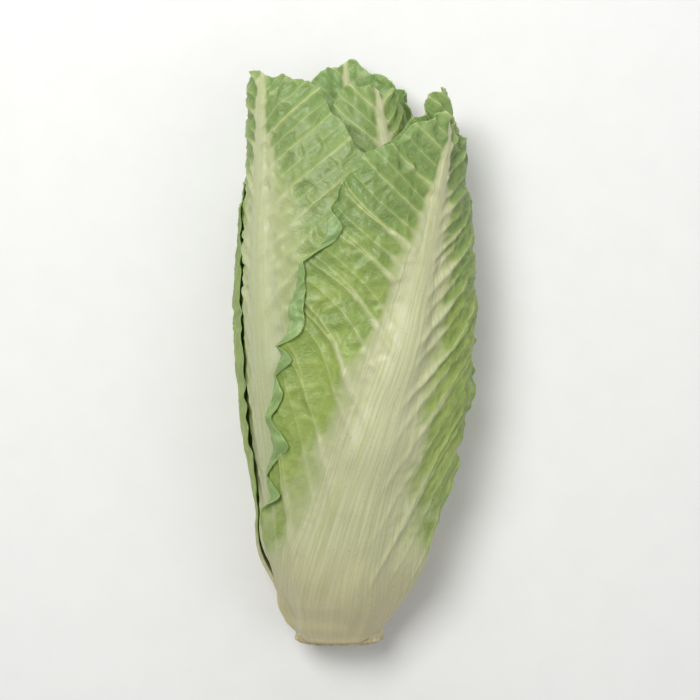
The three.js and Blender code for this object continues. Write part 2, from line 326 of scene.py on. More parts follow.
def leaf_lift(leaf, across, station):
    """The margin stands off in waves, and the whole blade undulates slowly."""
    up = station - leaf.root
    free = smoothstep(0.5, 1, margin_share(leaf, across, station)) * smoothstep(25, 80, up)
    turns = FULL_TURN * margin_place(leaf, across, station) / leaf.wave + leaf.phase
    waves = 0.55 + 0.45 * np.sin(turns) + 0.2 * np.sin(0.47 * turns + 1.3)
    slow = np.sin(across / 19 + leaf.phase) * np.sin(station / 27 + 2 * leaf.phase)
    return free * leaf.ruffle * waves + leaf.sway * slow * smoothstep(20, 70, up)


def spline_weights(t):
    """Uniform cubic B-spline weights for a place between two samples."""
    r = 1 - t
    return r**3 / 6, (3 * t**3 - 6 * t * t + 4) / 6, (3 * r**3 - 6 * r * r + 4) / 6, t**3 / 6


def read_map(heights, angle, station):
    """Reads a height map smoothly between its samples. Rows run along the axis, and columns round it."""
    column = (angle / FULL_TURN * MAP_TURNS) % MAP_TURNS
    row = np.clip(station / MAP_STEP, 0, MAP_ROWS - 1)
    column0, row0 = np.floor(column).astype(int), np.floor(row).astype(int)
    across_weights, along_weights = spline_weights(column - column0), spline_weights(row - row0)
    total = 0
    for i, along_weight in enumerate(along_weights):
        y = np.clip(row0 + i - 1, 0, MAP_ROWS - 1)
        for j, across_weight in enumerate(across_weights):
            total = total + along_weight * across_weight * heights[y, (column0 + j - 1) % MAP_TURNS]
    return total


def spread(heights, columns, rows, combine):
    """A map whose every sample combines its neighbours within a reach, in columns and then in rows."""
    passed = combine([np.roll(heights, -d, axis=1) for d in range(-columns, columns + 1)], axis=0)
    order = np.arange(MAP_ROWS)
    return combine([passed[np.clip(order + d, 0, MAP_ROWS - 1)] for d in range(-rows, rows + 1)], axis=0)


def inner_radius(leaf, bundle, across, station):
    """The leaf's own radius, or just clear of the bundle where that is larger."""
    angle = leaf_angle(leaf, across, station)
    gap = lerp(ROOT_GAP, LEAF_GAP, smoothstep(0, ROOT_REACH, station - leaf.root))
    opened = 1 - leaf.closing * smoothstep(0.6, 1, leaf_share(leaf, station))
    wanted = nominal_radius(leaf, station) * opened + leaf_lift(leaf, across, station)
    return soft_max(read_map(bundle, angle, station) + gap, wanted, 2)


def wrap_leaves():
    """Wraps the leaves from the youngest outwards and keeps with each the smoothed bundle that it lies on."""
    station = np.arange(MAP_ROWS)[:, None] * MAP_STEP * np.ones((1, MAP_TURNS))
    turns = np.arange(MAP_TURNS)[None, :] / MAP_TURNS * FULL_TURN
    heights = stump_radius(station)
    leaves = []
    for k in range(LEAF_COUNT - 1, -1, -1):
        leaf = plan_leaf(k)
        leaf.bundle = spread(spread(heights, 3, 1, np.max), 2, 1, np.mean)
        turn = turns - leaf_angle(leaf, 0, station)
        turn = turn - FULL_TURN * np.round(turn / FULL_TURN)
        across = turn * nominal_radius(leaf, station)
        outer = inner_radius(leaf, leaf.bundle, across, station) + leaf_thickness(leaf, across, station)
        reach = outline_scale(leaf, margin_place(leaf, across, station)) + 0.02
        inside = (station >= leaf.root) & (station <= leaf.top + 4)
        inside &= margin_share(leaf, across, station) <= reach
        heights = np.where(inside, np.maximum(heights, outer), heights)
        leaves.insert(0, leaf)
    return leaves


def section_reach(angle):
    """The section's outline at an angle, for a radius of one: a superellipse, squarer below than above."""
    exponent = np.where(np.sin(angle) > 0, TOP_ROUNDNESS, BOTTOM_ROUNDNESS)
    total = np.abs(np.cos(angle)) ** exponent + np.abs(np.sin(angle)) ** exponent
    return total ** (-1 / exponent)


def place_point(angle, station, radius):
    """A point of the head: the axis at that station, plus the radius along the section's outline."""
    reach = section_reach(angle) * radius
    axis_x = AXIS_BOW * np.sin(HALF_TURN * station / HEAD_LENGTH)
    axis_z = lerp(AXIS_AT_STUMP, AXIS_AT_BELLY, smoothstep(-20, 100, station))
    axis_z = axis_z - AXIS_SINK * smoothstep(150, HEAD_LENGTH, station)
    x = axis_x + WIDTH_SCALE * reach * np.cos(angle)
    z = axis_z + DEPTH_SCALE * reach * np.sin(angle)
    return np.stack([x, station + 0 * x, z], axis=-1)


def leaf_place(leaf, u, v):
    """(across, station) of the place at (u, v). Below the widest station it is a ladder of straight rows, and
    above it the square-to-disc map (u sqrt(1 - w^2/2), w sqrt(1 - u^2/2)), which rounds the tip."""
    w = np.maximum(v - WIDEST_SHARE, 0) / (1 - WIDEST_SHARE)
    low_station = lerp(leaf.root, leaf.widest, np.minimum(v, WIDEST_SHARE) / WIDEST_SHARE)
    is_high = v > WIDEST_SHARE
    rise = w * np.sqrt(1 - u * u / 2) * (leaf.top - leaf.widest)
    high_across = u * np.sqrt(1 - w * w / 2) * leaf.half_width
    across = np.where(is_high, high_across, u * half_width(leaf, low_station))
    station = np.where(is_high, leaf.widest + rise, low_station)
    outline = outline_scale(leaf, margin_place(leaf, across, station))
    scale = lerp(1, outline, np.where(is_high, np.maximum(u * u, w * w), u * u))
    return across * scale, np.where(is_high, leaf.widest + rise * scale, low_station)


# ---------------------------------------------------------------- the leaves' finer form


def side_veins(leaf, across, station):
    """The side veins, as four arrays: how near the nearest vein is, from 0 to 1; the line, a number that is
    whole along each vein; how far beside its line, in spacings, a main vein's two branches lie; and how
    strong the veins are.

    A vein leaves the rib steeply low down and more openly higher up: it is a line along which
    reach - |across| stays the same, where reach is the integral of 1 / slope up the leaf. Each side has its
    own lines, about a spacing apart, that wander by soft noise. Every other one is a main vein, which forks
    on its way to the margin. The ones between are half as strong."""
    steps = np.linspace(leaf.root, leaf.top + 5, 200)
    slopes = lerp(*VEIN_SLOPES, smoothstep(0.02, 0.75, leaf_share(leaf, steps)))
    reaches = np.concatenate([[0], np.cumsum(np.diff(steps) / slopes[1:])])
    side = np.where(across > 0, 1.0, 0.0)
    out = np.abs(across)
    away = np.clip(out / half_width(leaf, station), 0, 1)
    wander = VEIN_WANDER * soft_noise(across / 21, station / 24, 3 * leaf.k + 1)
    reach = np.interp(station, steps, reaches) - out + wander
    line = reach / VEIN_SPACING + 0.5 * side
    line = line + 0.24 * soft_noise(line, 3 * side, leaf.k + 7)
    number = np.round(line)
    is_main = np.mod(number, 2) < 0.5
    forking = away + 0.2 * soft_noise(station / 31, 2 * side, leaf.k + 9)
    fork = FORK_WIDTH * smoothstep(0.4, 1.05, forking)
    slope = np.interp(station, steps, slopes)
    distance = np.abs(np.abs(line - number) - fork * is_main) * VEIN_SPACING / np.sqrt(1 + slope**-2)
    width = lerp(1.3, 0.5, away) * lerp(0.7, 1, leaf.size) * np.where(is_main, 1, 0.75)
    veined = (1 - 0.6 * away**1.3) * (1 + 0.3 * soft_noise(line / 2, station / 40, leaf.k + 13))
    vein = np.where(is_main, 1, 0.5) * veined * np.exp(-((distance / width) ** 2))
    return vein, line, fork, veined


def leaf_marks(leaf, across, station):
    """What shapes and colours a leaf. The veins' line and fork are as side_veins gives them, and pucker goes
    from -1 to 1. All the rest run from 0 to about 1: the share of the leaf's length, the veins, the net of
    small veins and the hollows between them, the quilting between two side veins, the blade, the rib, and the
    pale part, which is a wide fan low down and no wider than the rib at the tip."""
    share = leaf_share(leaf, station)
    out = np.abs(across)
    from_midline = out / rib_half_width(leaf, station)
    vein, line, fork, veined = side_veins(leaf, across, station)
    off_rib = smoothstep(0.35, 0.9, from_midline) * smoothstep(0.03, 0.14, share)
    vein = vein * off_rib
    blade = smoothstep(0.8, 1.8, from_midline) * smoothstep(0.05, 0.2, share)
    seed = 10 * leaf.k + np.where(across > 0, 5, 0)
    drift = 0.35 * soft_noise(across / 4, station / 4, leaf.k + 40)
    gap = cell_gap(out / NET_SIZE[0] + drift, (station - 0.8 * out) / NET_SIZE[1] - drift, seed)
    pucker = soft_noise(out / 8 + 3 * drift, (station - 0.9 * out) / 13, seed + 3)
    between_veins = 0.5 * (1 - np.cos(FULL_TURN * line))
    quilting = 0.6 + 0.6 * soft_noise(across / 15, station / 19, 17)
    patchy = 1 + 0.25 * soft_noise(across / 7, station / 13, leaf.k + 70)
    patchy = patchy + 0.1 * soft_noise(across / 2, station / 3, 5)
    from_rib = out / (np.interp(share, PALE_SHARES, PALE_WIDTHS) * leaf.size) * (patchy - 0.4 * vein)
    beside_rib = (1 - smoothstep(1.1, 2.6, from_rib)) * (1 - smoothstep(0.7, 0.95, share))
    return SimpleNamespace(
        share=share,
        vein=vein,
        line=line,
        fork=fork,
        veined=veined * off_rib,
        net=np.exp(-((gap / NET_BORDER) ** 2)) * blade,
        hollow=smoothstep(0, 0.55, gap) * blade,
        quilt=between_veins * blade * quilting,
        pucker=pucker * blade * smoothstep(0.15, 0.7, share),
        rib=np.exp(-(from_midline**4)),
        pale=np.maximum(1 - smoothstep(0.55, 1.4, from_rib), leaf.pallor * beside_rib),
    )


def ridges(leaf, across, station):
    """Ridges along the rib: a cosine of the share of the rib's width, plus fine drawn-out noise."""
    place = across / rib_half_width(leaf, station)
    drawn = soft_noise(place * 6, station / 45, leaf.k + 20)
    fading = 1 - 0.6 * leaf_share(leaf, station)
    return RIDGE_HEIGHT * (np.cos(FULL_TURN * place * 2.2) + 0.9 * drawn) * fading


def frill(leaf, across, station):
    """Fine waves along the margin, outwards, that die out a quarter of the way in, low down and at the
    apex."""
    place = margin_place(leaf, across, station)
    near = smoothstep(0.72, 1, margin_share(leaf, across, station))
    near = near * smoothstep(20, 75, station - leaf.root)
    near = near * smoothstep(-3, 9, np.abs(place))
    wide = np.sin(FULL_TURN * place / FRILL_WAVE + 2.4 * edge_noise(place / 17, leaf.k + 50))
    fine = edge_noise(place / 2.6, leaf.k + 60)
    return FRILL_HEIGHT * leaf.size * near * (wide + 0.45 * fine * near)


def fine_place(leaf, u, v):
    """leaf_place, with small uneven teeth worked into the margin, up to 0.65 mm of them."""
    across, station = leaf_place(leaf, u, v)
    place = margin_place(leaf, across, station)
    teeth = 0.4 * edge_noise(place / 4.6, leaf.k + 80)
    teeth = teeth + 0.25 * edge_noise(place / 1.9, leaf.k + 90)
    is_high = v > WIDEST_SHARE
    w = np.maximum(v - WIDEST_SHARE, 0) / (1 - WIDEST_SHARE)
    at_edge = np.maximum(np.abs(u), w) ** 10
    at_corner = smoothstep(0.8, 1, np.abs(u) * w)
    teeth = teeth * at_edge * smoothstep(10, 40, station - leaf.root) * (1 - at_corner)
    scale = 1 + teeth / leaf.half_width
    return across * scale, np.where(is_high, leaf.widest + (station - leaf.widest) * scale, station)


def fold_edge(leaf, across, station):
    """The margin of a leaf folded outwards in flaps. Past the fold line the blade bends on an arc of a circle
    and then runs on straight. Gives the shift along the blade, the rise off it and the turn of the blade."""
    inset = (1 - margin_share(leaf, across, station)) * half_width(leaf, station)
    place = margin_place(leaf, across, station)
    wander = 0.45 * edge_noise(place / 19, leaf.k + 6)
    flap = np.abs(np.sin(HALF_TURN * (place / FLAP_SPACING + wander) + leaf.phase)) ** 0.8
    share = leaf_share(leaf, station)
    along = smoothstep(0.2, 0.3, share) * (1 - smoothstep(0.78, 0.93, share))
    along = along * np.where(across > 0, 1, leaf.fold_right)
    uneven = 1 + 0.12 * edge_noise(place / 5, leaf.k + 8)
    width = FOLD_WIDTH * lerp(0.6, 1, flap) * uneven * along
    whole_turn = leaf.fold * FOLD_TURN * lerp(0.9, 1, flap) * along + 1e-4
    past = np.maximum(width - inset, 0)
    bend = whole_turn / FOLD_BEND
    turn = bend * np.minimum(past, FOLD_BEND)
    straight = np.maximum(past - FOLD_BEND, 0)
    shift = np.sin(turn) / bend + straight * np.cos(turn) - past
    rise = (1 - np.cos(turn)) / bend + straight * np.sin(turn)
    return shift, rise, turn


def hug_share(leaf, across, station):
    """How far a margin is drawn in against the leaves under it: low down on every leaf, and all along the
    left margin of a leaf with clasp."""
    near = smoothstep(0.5, 0.95, margin_share(leaf, across, station))
    low = 1 - smoothstep(25, 62, station - leaf.root)
    left = leaf.clasp * smoothstep(0, 10, -across)
    return near * np.maximum(0.95 * low, left)


def inner_face(leaf, marks, across, moved, station, up):
    """The radius of a leaf's inner face: clear of the bundle, drawn in where its margin hugs, buried at its
    root, and with its frill, hollows, quilting, veins and puckers wherever it isn't rib."""
    lift = frill(leaf, across, station) - HOLLOW_DEPTH * marks.hollow * (0.5 + 0.5 * marks.share)
    lift = lift - QUILT_DEPTH * marks.quilt + VEIN_LIFT * marks.vein
    lift = lift + PUCKER_HEIGHT * leaf.size * marks.pucker
    inner = inner_radius(leaf, leaf.bundle, moved, station)
    under = read_map(leaf.bundle, leaf_angle(leaf, moved, station), station)
    under = under + lerp(0, HUG_GAP, smoothstep(0, ROOT_REACH, up))
    hug = hug_share(leaf, across, station)
    inner = lerp(inner, np.minimum(inner, under), hug)
    return inner + lift * (1 - marks.rib) * (1 - 0.5 * hug)


def fine_leaf(leaf, columns, rows):
    """Both faces of a leaf on a grid: points in the head's own coordinates, and the marks on them."""
    side = np.linspace(-1, 1, columns + 1)[None, :] * np.ones((rows + 1, 1))
    rising = np.linspace(0, 1, rows + 1)[:, None] * np.ones((1, columns + 1))
    u = lerp(side, np.sin(QUARTER_TURN * side), 0.4)
    v = lerp(rising, np.sin(QUARTER_TURN * rising), 0.25)
    across, station = fine_place(leaf, u, v)
    marks = leaf_marks(leaf, across, station)
    shift, rise, turn = fold_edge(leaf, across, station)
    moved = across + np.sign(across) * shift
    up = station - leaf.root
    within = 1 - smoothstep(0.5, 0.95, margin_share(leaf, across, station))
    drop = min(leaf.root - LOWEST_ROOT, ROOT_DROP)
    station = station - drop * (1 - smoothstep(0, ROOT_REACH, up)) * within
    inner = inner_face(leaf, marks, across, moved, station, up)
    inner = inner + rise - BURIED * (1 - smoothstep(0, 6, up))
    marks.edge = smoothstep(0.8, 1, margin_share(leaf, across, station))
    marks.across, marks.station = across, station
    at_margin = smoothstep(0.93, 1, margin_share(leaf, across, station))
    thickness = leaf_thickness(leaf, across, station, lerp(FINE_BLADE, FINE_EDGE, at_margin))
    relief = VEIN_HEIGHT * leaf.size * marks.vein + NET_HEIGHT * marks.net * marks.share
    relief = relief + ridges(leaf, across, station) * marks.rib
    thickness = (thickness + relief) * lerp(0.15, 1, smoothstep(0, 6, up))
    outwards = moved - np.sign(across) * thickness * np.sin(turn)
    outer = inner + thickness * np.cos(turn)
    faces = [
        place_point(leaf_angle(leaf, outwards, station), station, outer),
        place_point(leaf_angle(leaf, moved, station), station, inner),
    ]
    return faces, marks


# ---------------------------------------------------------------- meshes


def grid_faces(columns, rows):
    """The quads of a grid of points, row by row, that face the same way as its outer side."""
    corner = np.arange(rows)[:, None] * (columns + 1) + np.arange(columns)[None, :]
    corner = corner.reshape(-1)
    return np.stack([corner, corner + columns + 1, corner + columns + 2, corner + 1], axis=1)


def rim_points(columns, rows):
    """The grid's border points in order: along the root, up one margin, back along the tip and down the
    other margin."""
    at = np.arange((rows + 1) * (columns + 1)).reshape(rows + 1, columns + 1)
    return np.concatenate([at[0, :-1], at[:-1, -1], at[-1, :0:-1], at[:0:-1, 0]])


def shell_faces(columns, rows):
    """The quads of a closed shell: the outer grid, the inner grid turned round, and the band between their
    rims."""
    count = (rows + 1) * (columns + 1)
    outer = grid_faces(columns, rows)
    a = rim_points(columns, rows)
    b = np.roll(a, -1)
    return np.concatenate([outer, outer[:, ::-1] + count, np.stack([a, b, b + count, a + count], axis=1)])


def make_piece(name, points, faces, attributes, material):
    """A smooth mesh in the frame's metres that rides on the root body. Each attribute has a value a point."""
    mesh = bpy.data.meshes.new(name)
    mesh.from_pydata((points * MM).tolist(), [], faces)
    for attribute_name, values in attributes.items():
        kind, field = ("FLOAT_VECTOR", "vector") if values.ndim == 2 else ("FLOAT", "value")
        attribute = mesh.attributes.new(attribute_name, kind, "POINT")
        attribute.data.foreach_set(field, values.astype(np.float32).reshape(-1))
    mesh.shade_smooth()
    mesh.materials.append(material)
    piece = bpy.data.objects.new(name, mesh)
    bpy.context.scene.collection.objects.link(piece)
    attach(piece, "root")
    return piece


def find_offset(leaves):
    """Where the head's own coordinates lie in the frame. leaf_04's solid is worked out again here, on its own
    coarse grid with its bevelled margin, and its lowest corner is set against the solid's."""
    leaf = leaves[3]
    columns, rows, bevel = 14, 18, 0.5
    side = np.linspace(-1, 1, columns + 1)[None, :] * np.ones((rows + 1, 1))
    u = np.sign(side) * np.abs(side) ** 1.3
    v = np.linspace(0, 1, rows + 1)[:, None] ** 1.25 * np.ones((1, columns + 1))
    corners = []
    for inset, has_thickness in ((bevel, 1), (0, 0)):
        u_reach, v_reach = 1 - inset / leaf.half_width, 1 - inset / (leaf.top - leaf.root)
        across, station = leaf_place(leaf, np.clip(u, -u_reach, u_reach), np.clip(v, 1 - v_reach, v_reach))
        radius = inner_radius(leaf, leaf.bundle, across, station)
        radius = radius + has_thickness * leaf_thickness(leaf, across, station)
        corners.append(place_point(leaf_angle(leaf, across, station), station, radius).reshape(-1, 3))
    solid_low = np.array(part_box("leaf_04")[0]) / MM
    return solid_low - np.concatenate(corners).min(axis=0)


# ---------------------------------------------------------------- materials

# Leaf skins: the blade, its deeper patches (the same deeper green is also used as painted shade in the
# hollows), its tip, and the rib.
OUTER_SKIN = (srgb(146, 166, 80), srgb(116, 142, 66), srgb(106, 133, 72), srgb(198, 200, 162))
INNER_SKIN = (srgb(158, 176, 88), srgb(134, 158, 74), srgb(140, 162, 82), srgb(214, 212, 172))
PALE_SKIN = (srgb(150, 168, 90), srgb(124, 149, 76), srgb(112, 138, 78), srgb(184, 191, 152))
# What all leaf skins share.
LOWER_BLADE = srgb(163, 177, 100)
YOUNG_BLADE = srgb(210, 209, 130)
INNER_SIDE = srgb(130, 161, 104)
MARGIN = srgb(128, 158, 92)
VEINS = srgb(188, 198, 134)
BESIDE_RIB = srgb(170, 180, 126)
RIB_STREAKS = srgb(180, 184, 134)
RIB_PATCHES = srgb(166, 174, 116)
RIB_BASE = srgb(196, 180, 144)
RIB_SPECKS = srgb(168, 156, 108)
# The cut stump.
FLESH = srgb(206, 200, 162)
DEEPER_FLESH = srgb(184, 180, 132)
PITH = srgb(214, 212, 182)
BUNDLES = srgb(148, 140, 84)
RUST = srgb(140, 104, 60)
# The floor.
FLOOR_LIGHT = srgb(235, 235, 233)
FLOOR_DARK = srgb(233, 233, 231)

BUMP_REACH = 0.0004  # metres


class Nodes:
    """Short calls for the nodes of one material. What a call takes may be a number, a colour or another
    node's output."""

    def __init__(self, name):
        self.material = bpy.data.materials.new(name)
        self.material.use_nodes = True
        self.tree = self.material.node_tree
        self.shader = self.tree.nodes["Principled BSDF"]

    def put(self, socket, value):
        if isinstance(value, bpy.types.NodeSocket):
            self.tree.links.new(value, socket)
        else:
            socket.default_value = value

    def attribute(self, name, output="Fac"):
        node = self.tree.nodes.new("ShaderNodeAttribute")
        node.attribute_name = name
        return node.outputs[output]

    def mix(self, factor, a, b):
        """The colour a at 0 and b at 1."""
        node = self.tree.nodes.new("ShaderNodeMix")
        node.data_type = "RGBA"
        self.put(node.inputs["Factor"], factor)
        self.put(node.inputs["A"], a)
        self.put(node.inputs["B"], b)
        return node.outputs["Result"]

    def math(self, operation, a, b=0.0):
        node = self.tree.nodes.new("ShaderNodeMath")
        node.operation = operation
        self.put(node.inputs[0], a)
        self.put(node.inputs[1], b)
        return node.outputs[0]

    def times(self, a, b):
        return self.math("MULTIPLY", a, b)

    def plus(self, a, b):
        return self.math("ADD", a, b)

    def less(self, a, b):
        return self.math("SUBTRACT", a, b)

    def largest(self, a, b):
        return self.math("MAXIMUM", a, b)

    def span(self, value, low, high, to_low=0.0, to_high=1.0):
        """to_low below low and to_high above high, with a smoothstep between."""
        node = self.tree.nodes.new("ShaderNodeMapRange")
        node.interpolation_type = "SMOOTHSTEP"
        self.put(node.inputs["Value"], value)
        for socket, number in zip(node.inputs[1:5], (low, high, to_low, to_high)):
            socket.default_value = number
        return node.outputs["Result"]

    def stretch(self, vector, scale):
        node = self.tree.nodes.new("ShaderNodeMapping")
        self.put(node.inputs["Vector"], vector)
        node.inputs["Scale"].default_value = scale
        return node.outputs["Vector"]

    def noise(self, vector, scale, detail=3.0, roughness=0.55):
        node = self.tree.nodes.new("ShaderNodeTexNoise")
        self.put(node.inputs["Vector"], vector)
        node.inputs["Scale"].default_value = scale
        node.inputs["Detail"].default_value = detail
        node.inputs["Roughness"].default_value = roughness
        return node.outputs["Fac"]

    def warp(self, vector, scale, reach):
        """The vector, moved by soft noise."""
        noise = self.tree.nodes.new("ShaderNodeTexNoise")
        self.put(noise.inputs["Vector"], vector)
        noise.inputs["Scale"].default_value = scale
        move = self.tree.nodes.new("ShaderNodeVectorMath")
        move.operation = "MULTIPLY_ADD"
        self.put(move.inputs[0], noise.outputs["Color"])
        move.inputs[1].default_value = (reach, reach, reach)
        self.put(move.inputs[2], vector)
        return move.outputs[0]

    def cells(self, vector, scale):
        """Distance to the nearest border between irregular cells."""
        node = self.tree.nodes.new("ShaderNodeTexVoronoi")
        node.feature = "DISTANCE_TO_EDGE"
        self.put(node.inputs["Vector"], vector)
        node.inputs["Scale"].default_value = scale
        return node.outputs["Distance"]

    def bump(self, height, strength, distance, normal=None):
        node = self.tree.nodes.new("ShaderNodeBump")
        node.inputs["Strength"].default_value = strength
        node.inputs["Distance"].default_value = distance
        self.put(node.inputs["Height"], height)
        if normal is not None:
            self.put(node.inputs["Normal"], normal)
        return node.outputs["Normal"]


def crisp_veins(n):
    """The side veins as thin lines: 1 where the line attribute is a whole number, or beside it where a main
    vein, every other one, has forked. The veins between are about half as strong."""
    line = n.attribute("line")
    number = n.math("ROUND", line)
    is_main = n.less(1.0, n.math("FLOORED_MODULO", number, 2.0))
    fork = n.times(n.attribute("fork"), is_main)
    off_number = n.math("ABSOLUTE", n.less(line, number))
    off_line = n.math("ABSOLUTE", n.less(off_number, fork))
    strength = n.times(n.attribute("veined"), n.span(is_main, 0.0, 1.0, 0.55, 1.0))
    return n.times(n.span(off_line, 0.015, 0.08, 1.0, 0.0), strength)


def leaf_material(name, blade, deep, tip, cream):
    """Leaf skin. The blade is pale low down, then yellow-green, and deeper green in patches and towards its
    tip, and the same deeper green is painted into the hollows between the small veins as painted shade. It
    has paler veins and a fine net, and is yellower on young leaves and bluer on the inner side. It goes
    through a greyish green to the cream of the rib and the sheath, which have drawn-out streaks, a few tan
    specks and a warmer tone at the very base. It is waxy and lets a little light in."""
    n = Nodes(name)
    place, pale, young = n.attribute("place", "Vector"), n.attribute("pale"), n.attribute("young")
    share = n.attribute("share")
    patches = n.noise(place, 0.07, 3.0)
    mottle = n.noise(place, 0.5, 5.0, 0.65)
    streaks = n.noise(n.stretch(place, (1.5, 0.03, 1.0)), 1.0, 4.0, 0.6)
    specks = n.noise(place, 0.8, 1.0)
    fine_net = n.cells(n.warp(n.warp(place, 0.3, 4.0), 1.1, 0.6), 0.42)
    net_share = n.span(patches, 0.35, 0.65, 0.4, 1.0)
    crisp = crisp_veins(n)

    green = n.mix(n.span(share, 0.15, 0.55), LOWER_BLADE, blade)
    green = n.mix(n.times(n.span(patches, 0.4, 0.66), 0.6), green, deep)
    green = n.mix(n.span(young, 0.2, 1.0, 0.0, 0.9), green, YOUNG_BLADE)
    green = n.mix(n.times(n.span(mottle, 0.5, 0.72), 0.4), green, deep)
    # Painted shade: the hollows between the small veins are darkened towards the deeper green.
    green = n.mix(n.times(n.attribute("hollow"), 0.2), green, deep)
    up_to_tip = n.plus(share, n.times(n.span(patches, 0.3, 0.7), 0.12))
    at_tip = n.times(n.span(up_to_tip, 0.6, 0.98), n.span(young, 0.3, 1.0, 0.85, 0.15))
    green = n.mix(at_tip, green, tip)
    inside = n.times(n.attribute("inside"), n.span(young, 0.2, 0.9, 0.75, 0.0))
    green = n.mix(inside, green, INNER_SIDE)
    green = n.mix(n.times(n.attribute("edge"), 0.3), green, MARGIN)

    raised_lines = n.largest(n.times(n.attribute("vein"), 0.4), n.times(n.attribute("net"), 0.15))
    net_lines = n.times(n.span(fine_net, 0.0, 0.09, 0.2, 0.0), net_share)
    lines = n.largest(n.largest(raised_lines, net_lines), n.times(crisp, 0.8))
    green = n.mix(lines, green, VEINS)

    rib = n.mix(n.span(streaks, 0.36, 0.68), cream, RIB_STREAKS)
    rib = n.mix(n.times(n.span(mottle, 0.52, 0.78), 0.35), rib, RIB_PATCHES)
    rib = n.mix(n.times(n.attribute("root"), 0.6), rib, RIB_BASE)
    rib = n.mix(n.span(specks, 0.66, 0.76, 0.0, 0.4), rib, RIB_SPECKS)
    skin = n.mix(n.span(pale, 0.0, 0.55), green, BESIDE_RIB)
    n.put(n.shader.inputs["Base Color"], n.mix(n.span(pale, 0.4, 1.0), skin, rib))
    n.put(n.shader.inputs["Roughness"], n.span(mottle, 0.3, 0.75, 0.36, 0.52))

    net_hollows = n.times(n.times(n.span(fine_net, 0.0, 0.2), 0.4), net_share)
    grain = n.plus(n.less(n.times(mottle, 0.8), net_hollows), n.times(crisp, 0.7))
    grain = n.times(grain, n.span(pale, 0.15, 0.75, 1.0, 0.12))
    normal = n.bump(grain, 0.55, BUMP_REACH)
    n.put(n.shader.inputs["Normal"], n.bump(streaks, 0.25, BUMP_REACH, normal))
    finish_flesh(n.shader)
    return n.material


def finish_flesh(shader):
    """The gloss of a thin wax, and a little light let in."""
    shader.inputs["Subsurface Weight"].default_value = 0.25
    shader.inputs["Subsurface Radius"].default_value = (0.8, 1.0, 0.25)
    shader.inputs["Subsurface Scale"].default_value = 0.002
    shader.inputs["IOR"].default_value = 1.42
    shader.inputs["Coat Weight"].default_value = 0.12
    shader.inputs["Coat Roughness"].default_value = 0.25


def stump_material():
    """Cut stem: cream flesh, paler in its pith, with a ring of darker bundles, and rust where the air has
    browned it."""
    n = Nodes("cut stem")
    grain = n.noise(n.attribute("place", "Vector"), 0.7, 6.0, 0.65)
    flesh = n.mix(n.span(grain, 0.35, 0.7), FLESH, DEEPER_FLESH)
    flesh = n.mix(n.times(n.attribute("pith"), 0.7), flesh, PITH)
    flesh = n.mix(n.times(n.attribute("bundle"), 0.6), flesh, BUNDLES)
    browned = n.times(n.attribute("rust"), n.span(grain, 0.3, 0.7, 0.3, 1.0))
    n.put(n.shader.inputs["Base Color"], n.mix(browned, flesh, RUST))
    n.put(n.shader.inputs["Roughness"], n.span(grain, 0.3, 0.7, 0.38, 0.6))
    n.put(n.shader.inputs["Normal"], n.bump(grain, 0.5, 0.0005))
    finish_flesh(n.shader)
    return n.material


def floor_material():
    """Pale, matt and very slightly uneven."""
    n = Nodes("pale floor")
    coordinates = n.tree.nodes.new("ShaderNodeTexCoord").outputs["Object"]
    grain = n.noise(coordinates, 60.0, 4.0)
    n.put(n.shader.inputs["Base Color"], n.mix(n.span(grain, 0.3, 0.7), FLOOR_LIGHT, FLOOR_DARK))
    n.shader.inputs["Roughness"].default_value = 0.85
    return n.material


# ---------------------------------------------------------------- the pieces


def grid_size(k):
    """(columns, rows) of a leaf's grid: finest on the leaves that show, coarser towards the core."""
    if k == 0:
        return 150, 240
    if k < 5:
        return 132, 214
    if k < 8:
        return 90, 150
    return 60, 96


def on_both_faces(values):
    return np.tile(values.reshape(-1), 2)


def make_leaf(leaf, offset, material):
    """One leaf's shell, flattened where it meets the floor, with the marks that its material reads."""
    columns, rows = grid_size(leaf.k)
    faces, marks = fine_leaf(leaf, columns, rows)
    outer, inner = (face.reshape(-1, 3) + offset for face in faces)
    outer[:, 2] = soft_max(outer[:, 2], 0.0, FLOOR_SOFTNESS)
    inner[:, 2] = np.maximum(inner[:, 2], FLOOR_INNER)
    count = outer.shape[0]
    across, station = on_both_faces(marks.across), on_both_faces(marks.station)
    attributes = {
        "place": np.stack([across, station, np.full(2 * count, 37.0 * leaf.k)], axis=1),
        "root": 1 - smoothstep(0, 45, station - leaf.root),
        "inside": np.repeat([0.0, 1.0], count),
        "young": np.full(2 * count, leaf.young),
    }
    for mark in ("share", "pale", "vein", "line", "fork", "veined", "net", "hollow", "edge"):
        attributes[mark] = on_both_faces(getattr(marks, mark))
    node = "leaf_%02d" % (leaf.k + 1)
    points = np.concatenate([outer, inner])
    piece = make_piece(node + "_skin", points, shell_faces(columns, rows).tolist(), attributes, material)
    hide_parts(node)


def stump_marks(angle, station, radius):
    """Shares from 0 to 1 that colour the stump: its pith, two rings of bundles round it, and the rust on its
    rim, low on its side and in patches."""
    flat = 1 - smoothstep(0.25, 1.1, station)
    out = radius / STUMP_RADIUS
    x, y = np.cos(angle) * out, np.sin(angle) * out
    uneven = soft_noise(4 * x, 4 * y, 31)
    inner_ring = np.exp(-(((out - 0.56 - 0.05 * uneven) / 0.06) ** 2))
    outer_ring = 0.6 * np.exp(-(((out - 0.78) / 0.045) ** 2))
    dots = np.maximum(0, np.cos(22 * angle + 2.5 * uneven)) ** 2
    rim = smoothstep(0.8, 1.0, out + 0.06 * uneven) * flat
    blotches = 0.45 + 0.35 * soft_noise(angle * 3, station / 2, 8)
    low = (1 - flat) * (1 - smoothstep(1, 7, station)) * blotches
    patches = 0.5 * smoothstep(0.35, 0.9, soft_noise(3 * x, 3 * y, 12)) * flat
    return {
        "pith": (1 - smoothstep(0.3, 0.5, out + 0.08 * uneven)) * flat,
        "bundle": (inner_ring + outer_ring) * dots * flat,
        "rust": np.clip(0.9 * rim + low + patches, 0, 1),
    }


